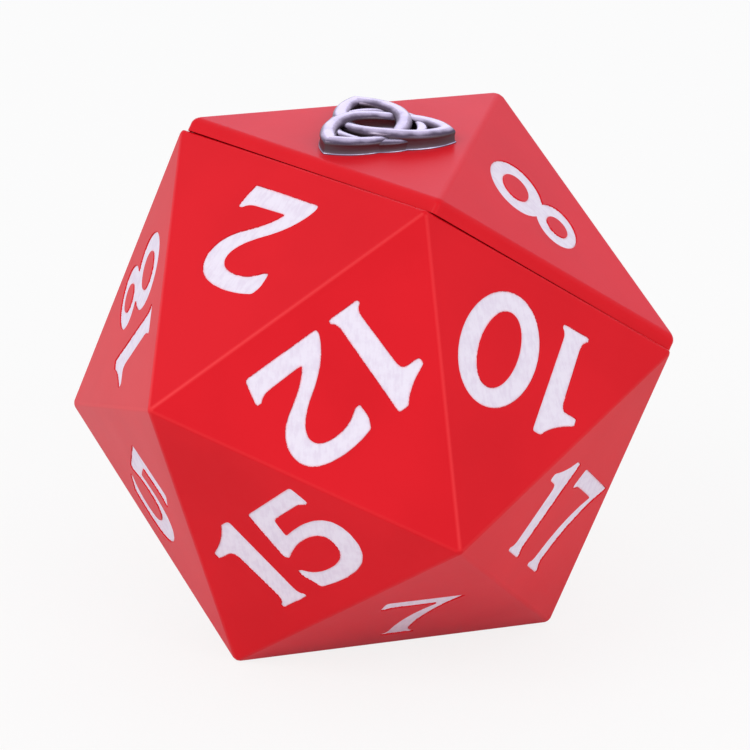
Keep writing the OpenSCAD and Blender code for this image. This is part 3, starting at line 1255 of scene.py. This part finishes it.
@dataclass
class NumberFill:
    """The paint that lies in one sunk number.

    Attributes:
        number: The number.
        body: The half that it is in.
        edge_drop: How much lower the paint is at its edge.
        edge_width: How broad that sloping edge is.
        bead: How high the bead of paint beside the edge stands.
        bead_width: How broad the bead is.
        heap: How much higher the paint lies than the flat fill of the CAD node.
    """

    number: int
    body: Body
    edge_drop: float = 0.12 * MM
    edge_width: float = 0.24 * MM
    bead: float = 0.08 * MM
    bead_width: float = 0.3 * MM
    heap: float = 0.2 * MM

    def mesh(self) -> Mesh:
        """The fill, with a low bead just inside its edge where the brush left more paint.

        Returns:
            The mesh, in the row frame, with its rim layer and its brush map.
        """
        bm, out = NumberForm(self.number).solid()
        layer = bm.verts.layers.float.new("rim")
        shown = flat_faces(bm, lambda face: face.normal.dot(out) > FACING)
        outline = {vert for face in shown for vert in face.verts}
        bmesh.ops.translate(bm, verts=list(outline), vec=out * self.heap)
        ring = self._step_in(bm, shown, self.edge_width)
        field = self._step_in(bm, shown, self.bead_width)
        for verts, value in ((outline - ring, 1.0), (ring - field, 0.5)):
            for vert in verts:
                vert[layer] = value
        bmesh.ops.translate(bm, verts=list(outline - ring), vec=out * -self.edge_drop)
        bmesh.ops.translate(bm, verts=list(ring - field), vec=out * self.bead)
        split_broad(bm)
        self._lay_brush_map(bm, out)
        return as_mesh(f"number_{self.number}", bm)

    @staticmethod
    def _step_in(bm: BMesh, faces: list[BMFace], width: float) -> set[BMVert]:
        """Insets the faces, and returns the vertices round what is left of them."""
        bmesh.ops.inset_region(bm, faces=faces, thickness=width, use_boundary=True)
        return {vert for face in faces for vert in face.verts}

    @staticmethod
    def _lay_brush_map(bm: BMesh, out: Vector) -> None:
        """Gives the fill a map in metres, with V up the number's face.

        Args:
            bm: The fill.
            out: The direction out of the die's face.
        """
        side = Vector((0, 0, 1)).cross(out)
        side = side.normalized() if side.length > 0.1 else Vector((1, 0, 0))
        up = out.cross(side)
        layer = bm.loops.layers.uv.new("brush")
        for face in bm.faces:
            for loop in face.loops:
                loop[layer].uv = (loop.vert.co.dot(side), loop.vert.co.dot(up))

    def build(self, material: Material) -> Object:
        """Makes the piece."""
        name = NumberForm(self.number).node
        return hand_over(f"{name}_fill", self.mesh(), material, self.body, name)


@dataclass
class Badge:
    """The cast knot on the lid: three pointed loops laid over and under one another, on a ring.

    Attributes:
        strand_radius: The radius of the three bent strands, to their middle line.
        strand_width: The width of a strand.
        ring_share: The ring's radius as a share of the strands' radius.
        ring_width: The width of the ring.
        ring_height: The height of the ring.
        over: The height of a strand where it crosses over another.
        under: Its height where it goes under.
        tip: Its height at the points of the knot.
        first_turn: The angle round its own centre, in degrees, where a strand starts.
        last_turn: The same where it ends.
        under_turn: The same where it goes under.
        over_turn: The same where it crosses over.
        shadow: How far, in degrees, the painted shadow spreads from where a strand goes under.
        shadow_depth: How dark the painted shadow makes it there, as a value on the map of
            hollows.
        top: The share of its height above which a strand's top starts.
        peg_d: The diameter of the two pegs behind the badge.
        peg_length: How far they reach into the lid.
        peg_root: How far they reach up into the ring.
        peg_gap: The clearance round the pegs and past their ends.
        hole_top: How far the cutters of their holes stand out of the lid.
        steps: How many steps a strand is spun in.
        crease: The angle, in degrees, above which an edge stays sharp.
    """

    strand_radius: float = 15.5 * MM
    strand_width: float = 4.8 * MM
    ring_share: float = 0.74
    ring_width: float = 4.0 * MM
    ring_height: float = 3.1 * MM
    over: float = 4.8 * MM
    under: float = 3.5 * MM
    tip: float = 4.2 * MM
    first_turn: float = 166.0
    last_turn: float = 374.0
    under_turn: float = 240.0
    over_turn: float = 300.0
    shadow: float = 11.0
    shadow_depth: float = 0.9
    top: float = 0.6
    peg_d: float = 2.5 * MM
    peg_length: float = 3 * MM
    peg_root: float = 1 * MM
    peg_gap: float = 0.1 * MM
    hole_top: float = 2 * MM
    steps: int = 72
    crease: float = 50.0

    @property
    def ring_radius(self) -> float:
        """Radius of the ring, to its middle line."""
        return self.ring_share * self.strand_radius

    @property
    def to_row(self) -> Matrix:
        """From the badge's own frame, its foot on the lid's level face, to the row frame.

        Returns:
            The transform.
        """
        level = FORM.seam_level + FORM.band
        left, right = (
            Vector((FORM.rim_radius * math.cos(angle), FORM.rim_radius * math.sin(angle), level))
            for angle in (math.radians(144), math.radians(216))
        )
        point = Vector((0, 0, level + FORM.cap_height))
        foot = (left + right) / 2
        side, up = (right - left).normalized(), (point - foot).normalized()
        out = side.cross(up)
        middle = foot + up * (point - foot).length / 3
        axes = Matrix((side, up, out)).transposed().to_4x4()
        return FORM.lid_to_row @ Matrix.Translation(middle) @ axes

    def _profile(self, half: float) -> list[tuple[float, float, float]]:
        """The outline of a strand: across, the share of its height, and its value on the map of
        hollows, which darkens the flanks partly as patina and partly as painted reflection.

        Args:
            half: Half the strand's width.

        Returns:
            The three values of each point, from the right of the foot over the top to the left.
        """
        # Third value: 1 is the dark wash in the grooved walls; the crown darkens down its flanks,
        # partly as patina and partly as painted reflection, and stays bright on top.
        foot = [(1.0, 0.0, 0.8), (1.0, 0.06, 0.1), (0.95, 0.09, 0.3)]
        wall = [(0.87, 0.13, 1.0), (0.84, 0.3, 1.0), (0.84, 0.5, 1.0), (0.88, 0.6, 0.7)]
        crown = []
        for degrees in range(0, 90, 10):
            across, up = math.cos(math.radians(degrees)), math.sin(math.radians(degrees))
            crown.append((0.9 * across, 0.66 + 0.34 * up, 0.8 * (1 - up)))
        right = [(half * across, up, hollow) for across, up, hollow in foot + wall + crown]
        return [*right, (0.0, 1.0, 0.0), *[(-a, u, h) for a, u, h in reversed(right)]]

    def _sweep(
        self, bm: BMesh, centre: Vector, radius: float, half: float, start: float, angle: float
    ) -> list[BMVert]:
        """Spins a strand's outline about a centre.

        Args:
            bm: The mesh to add to.
            centre: The centre that the strand bends round.
            radius: From there to the strand's middle line.
            half: Half the strand's width.
            start: The angle it starts at.
            angle: How far it is spun.

        Returns:
            The vertices of the strand, its height still a share of 1.
        """
        layer = bm.verts.layers.float["hollow"]
        before = set(bm.verts)
        toward = Vector((math.cos(start), math.sin(start), 0))
        verts = []
        for across, up, hollow in self._profile(half):
            vert = bm.verts.new(centre + toward * (radius + across) + Vector((0, 0, up)))
            vert[layer] = hollow
            verts.append(vert)
        edges = [bm.edges.new(pair) for pair in zip(verts, [*verts[1:], verts[0]])]
        closed = abs(angle) > math.radians(359)
        bmesh.ops.spin(
            bm,
            geom=verts + edges,
            cent=centre,
            axis=(0, 0, 1),
            angle=angle,
            steps=self.steps,
            use_merge=closed,
            use_duplicate=False,
        )
        return [vert for vert in bm.verts if vert not in before]

    def _height(self, angle: float) -> float:
        """The height of a strand where it has turned through an angle, in degrees.

        Args:
            angle: The angle round the strand's own centre.

        Returns:
            The height of its top.
        """
        stops = [
            (180.0, self.tip),
            (self.under_turn, self.under),
            (self.over_turn, self.over),
            (360.0, self.tip),
        ]
        for (low, first), (high, second) in zip(stops, stops[1:]):
            if low < angle <= high:
                share = (angle - low) / (high - low)
                return first + (second - first) * share * share * (3 - 2 * share)
        return self.tip

    def _strand(self, bm: BMesh, azimuth: float) -> None:
        """Adds one of the three strands, mitred where it runs on into the next ones.

        Args:
            bm: The mesh to add to, which holds nothing else yet.
            azimuth: How far, in degrees, the strand is turned round the badge.
        """
        centre = Vector((0, self.strand_radius / math.sqrt(3), 0))
        start = math.radians(self.first_turn)
        angle = math.radians(self.last_turn - self.first_turn)
        verts = self._sweep(bm, centre, self.strand_radius, self.strand_width / 2, start, angle)
        layer = bm.verts.layers.float["hollow"]
        for vert in verts:
            flat = vert.co - centre
            turned = math.degrees(math.atan2(flat.y, flat.x)) % 360
            turned = turned + 360 if turned < 90 else turned
            # Painted shadow on the strand's top where it runs under another.
            if vert.co.z > self.top:
                near = 1 - min(1.0, abs(turned - self.under_turn) / self.shadow)
                vert[layer] = max(vert[layer], self.shadow_depth * near)
            vert.co.z *= self._height(turned)
        half = math.pi / 6
        for side in (1, -1):
            near = [v for v in verts if v.is_valid and side * v.co.x > self.ring_radius / 2]
            edges = dict.fromkeys(edge for vert in near for edge in vert.link_edges)
            faces = dict.fromkeys(face for vert in near for face in vert.link_faces)
            normal = Vector((-side * math.sin(half), math.cos(half), 0))
            cut = bmesh.ops.bisect_plane(
                bm,
                geom=[*near, *edges, *faces],
                plane_co=(0, 0, 0),
                plane_no=normal,
                clear_outer=True,
                dist=MERGE / 10,
            )
            bmesh.ops.contextual_create(bm, geom=of_kind(cut["geom_cut"], BMEdge))
        turn = Matrix.Rotation(math.radians(azimuth), 3, "Z")
        bmesh.ops.rotate(bm, verts=bm.verts, cent=(0, 0, 0), matrix=turn)

    def _pegs(self, bm: BMesh, diameter: float, low: float, high: float) -> None:
        """Adds the two pegs, or the holes that they go into.

        Args:
            bm: The mesh to add to.
            diameter: Their diameter.
            low: Where they start, from the lid's level face.
            high: Where they end.
        """
        for side in (-1, 1):
            place = Matrix.Translation((side * self.ring_radius, 0, (low + high) / 2))
            bmesh.ops.create_cone(
                bm,
                cap_ends=True,
                segments=40,
                radius1=diameter / 2,
                radius2=diameter / 2,
                depth=high - low,
                matrix=place,
            )

    def peg_holes(self) -> BMesh:
        """The holes in the lid that take the pegs.

        Returns:
            The cutting cylinders, in the row frame.
        """
        bm = bmesh.new()
        gap = self.peg_gap
        self._pegs(bm, self.peg_d + 2 * gap, -self.peg_length - gap, self.hole_top)
        bm.transform(self.to_row)
        return bm

    def mesh(self) -> Mesh:
        """The whole badge, with a map of its hollows and its painted shade.

        Returns:
            The mesh, in the row frame.
        """
        bm = bmesh.new()
        bm.verts.layers.float.new("hollow")
        ring = self._sweep(bm, Vector(), self.ring_radius, self.ring_width / 2, 0.0, 2 * math.pi)
        for vert in ring:
            vert.co.z *= self.ring_height
        for azimuth in (0, 120, 240):
            piece = bmesh.new()
            piece.verts.layers.float.new("hollow")
            self._strand(piece, azimuth)
            pour(piece, bm)
        self._pegs(bm, self.peg_d, -self.peg_length, self.peg_root)
        bmesh.ops.recalc_face_normals(bm, faces=bm.faces)
        bm.transform(self.to_row)
        return as_mesh("badge", bm)

    def build(self, material: Material) -> Object:
        """Makes the piece."""
        return hand_over(
            "knot_badge", self.mesh(), material, Body.LID, "badge", self.crease
        )


BADGE = Badge()


@dataclass
class FeltLining:
    """The felt in one half, cut in flat panels and glued to the inner walls.

    Attributes:
        node: The CAD node that it stands for.
        body: The half that it is glued to.
        thickness: The thickness of the felt.
        gap: Half the gap between two panels.
        soft: The rounding of the panels' edges.
        smallest: The area above which a face of the node is a panel.
        used: The share of the uncut felt that the panels take.
    """

    node: str
    body: Body
    thickness: float = 1.15 * MM
    gap: float = 0.3 * MM
    soft: float = 0.3 * MM
    smallest: float = 300 * MM * MM
    used: float = 0.75

    def mesh(self) -> tuple[Mesh, float]:
        """The panels, and the area of felt that they take in square metres.

        Returns:
            The mesh, in the row frame, and the area.
        """
        bm = merged_copy(self.node)
        inside = Vector((0, 0, FORM.inradius))
        panels = flat_faces(
            bm,
            lambda face: face.calc_area() > self.smallest
            and face.normal.dot(face.calc_center_median() - inside) > 0,
        )
        spare = [face for face in bm.faces if face not in panels]
        bmesh.ops.delete(bm, geom=spare, context="FACES")
        bmesh.ops.split_edges(bm, edges=bm.edges)
        seams = bmesh.ops.inset_individual(
            bm, faces=bm.faces, thickness=self.gap, use_even_offset=True
        )
        bmesh.ops.delete(bm, geom=seams["faces"], context="FACES")
        area = sum(face.calc_area() for face in bm.faces)
        bmesh.ops.solidify(bm, geom=bm.faces, thickness=self.thickness)
        bmesh.ops.recalc_face_normals(bm, faces=bm.faces)
        soften(bm, [edge for edge in bm.edges if turns(edge)], self.soft, segments=3)
        return as_mesh(self.node, bm), area

    def build(self, material: Material, rests_on: Object) -> Object:
        """Makes the piece.

        Args:
            material: The felt.
            rests_on: The casting that it is glued to. Not used.

        Returns:
            The piece.
        """
        mesh, area = self.mesh()
        name = f"{self.node.removesuffix('_lining')}_felt"
        obj = hand_over(name, mesh, material, self.body, self.node)
        return obj


# ---------------------------------------------------------------- the studio


@dataclass(frozen=True)
class Lamp:
    """One soft square lamp, aimed at the chest.

    Attributes:
        name: Its name.
        place: Where it hangs.
        size: The length of its sides.
        watts: Its power.
        colour: The colour of its light.
    """

    name: str
    place: tuple[float, float, float]
    size: float
    watts: float
    colour: tuple[float, float, float] = (1.0, 1.0, 1.0)

    def build(self) -> Object:
        """Hangs the lamp.

        Returns:
            The lamp.
        """
        light = bpy.data.lights.new(self.name, "AREA")
        light.shape, light.size = "SQUARE", self.size
        light.energy, light.color = self.watts, self.colour
        obj = as_object(self.name, light)
        obj.location = self.place
        aim = Vector((0, 0, FORM.inradius)) - Vector(self.place)
        obj.rotation_euler = aim.to_track_quat("-Z", "Y").to_euler()
        return obj


LAMPS = (
    Lamp("key", (-0.1, -1.5, 1.5), 1.1, 9.8),
    Lamp("right", (1.6, -0.2, 0.9), 1.1, 4.0),
    Lamp("back", (-1.26, 1.36, 0.9), 1.2, 2.5, (0.75, 0.8, 1.0)),
)


@dataclass
class Studio:
    """The floor, the lamps, the white surroundings and the camera.

    Attributes:
        eye: Where the camera is.
        aim: What it points at.
        roll: How far it is rolled.
        lens: Its focal length, in millimetres.
        sensor: The width of its sensor, in millimetres.
        floor_size: How far the floor reaches from the chest.
        floor_grey: The colour of the floor.
        ambient: How strongly the surroundings light the chest.
        whitened: How far the floor is lifted towards white in the camera's eye.
        mirrored: The share of that lift that glossy paint and metal mirror.
        cool: The colour of the surroundings that they mirror.
    """

    eye: tuple[float, float, float] = (0.8703, -0.9327, 0.5968)
    aim: tuple[float, float, float] = (0.00127, 0.00159, 0.06571)
    roll: float = math.radians(0.3)
    lens: float = 253.8
    sensor: float = 36.0
    floor_size: float = 6.0
    floor_grey: Colour = (0.8, 0.8, 0.8, 1.0)
    ambient: float = 0.8
    whitened: float = 0.84
    mirrored: float = 0.25
    cool: Colour = (0.96, 0.88, 1.12, 1.0)

    def _floor(self) -> None:
        """Lays a pale floor that lifts towards white in the camera's eye and keeps a shadow."""
        bm = bmesh.new()
        bmesh.ops.create_grid(bm, x_segments=1, y_segments=1, size=self.floor_size)
        floor = as_object("floor", as_mesh("floor", bm))
        material, wiring, shader = start_material("pale_floor", Roughness=0.9)
        shader.inputs["Base Color"].default_value = self.floor_grey
        path = wiring.add("ShaderNodeLightPath").outputs
        glossy = wiring.maths("MULTIPLY", path["Is Glossy Ray"], self.mirrored)
        seen = wiring.maths("MAXIMUM", path["Is Camera Ray"], glossy)
        tone = wiring.blend(path["Is Glossy Ray"], WHITE, self.cool)
        white = wiring.add("ShaderNodeEmission", {"Color": tone, "Strength": 1.0})
        share = wiring.maths("MULTIPLY", seen, self.whitened)
        feeds = {0: share, 1: shader.outputs[0], 2: white.outputs[0]}
        both = wiring.add("ShaderNodeMixShader", feeds)
        output = material.node_tree.nodes["Material Output"]
        wiring.tree.links.new(both.outputs[0], output.inputs["Surface"])
        floor.data.materials.append(material)

    def _world(self) -> None:
        """Surrounds the chest with white that lights it less than it shows."""
        world = bpy.data.worlds.new("studio")
        bpy.context.scene.world = world
        world.use_nodes = True
        wiring = Wiring(world.node_tree)
        path = wiring.add("ShaderNodeLightPath").outputs
        seen = wiring.maths("MAXIMUM", path["Is Camera Ray"], path["Is Glossy Ray"])
        seen = wiring.maths("MAXIMUM", seen, path["Is Transmission Ray"])
        strength = wiring.span(seen, (0, 1), (self.ambient, 1))
        ground = world.node_tree.nodes["Background"]
        tone = wiring.blend(path["Is Glossy Ray"], WHITE, self.cool)
        wiring.tree.links.new(tone, ground.inputs["Color"])
        wiring.tree.links.new(strength, ground.inputs["Strength"])

    def _camera(self) -> None:
        """Sets the camera at the photograph's angle."""
        data = bpy.data.cameras.new("photo_camera")
        data.lens, data.sensor_width, data.sensor_fit = self.lens, self.sensor, "HORIZONTAL"
        data.clip_start, data.clip_end = 0.01, 50
        camera = as_object("photo_camera", data)
        look = Vector(self.aim) - Vector(self.eye)
        turned = look.to_track_quat("-Z", "Y").to_matrix().to_4x4()
        place = Matrix.Translation(self.eye)
        camera.matrix_world = place @ turned @ Matrix.Rotation(self.roll, 4, "Z")
        bpy.context.scene.camera = camera

    def build(self) -> None:
        """Sets everything round the chest."""
        self._floor()
        self._world()
        for lamp in LAMPS:
            lamp.build()
        self._camera()
        bpy.context.scene.view_settings.view_transform = "Standard"


def main() -> None:
    """Builds the chest and its studio, piece by piece."""
    logging.basicConfig(level=logging.INFO, format="%(name)s: %(message)s")
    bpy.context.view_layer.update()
    red, white = SatinRed().material(), NumberWhite().material()
    silver, felt = AntiqueSilver().material(), BlackFelt().material()
    base, lid = BaseShell(), LidShell()
    base_piece, lid_piece = base.build(red), lid.build(red)
    for number in base.numbers:
        NumberFill(number, Body.BASE).build(white)
    for number in lid.numbers:
        NumberFill(number, Body.LID).build(white)
    BADGE.build(silver)
    FeltLining("base_lining", Body.BASE).build(felt, base_piece)
    FeltLining("lid_lining", Body.LID).build(felt, lid_piece)
    Studio().build()


if __name__ == "__main__":
    main()
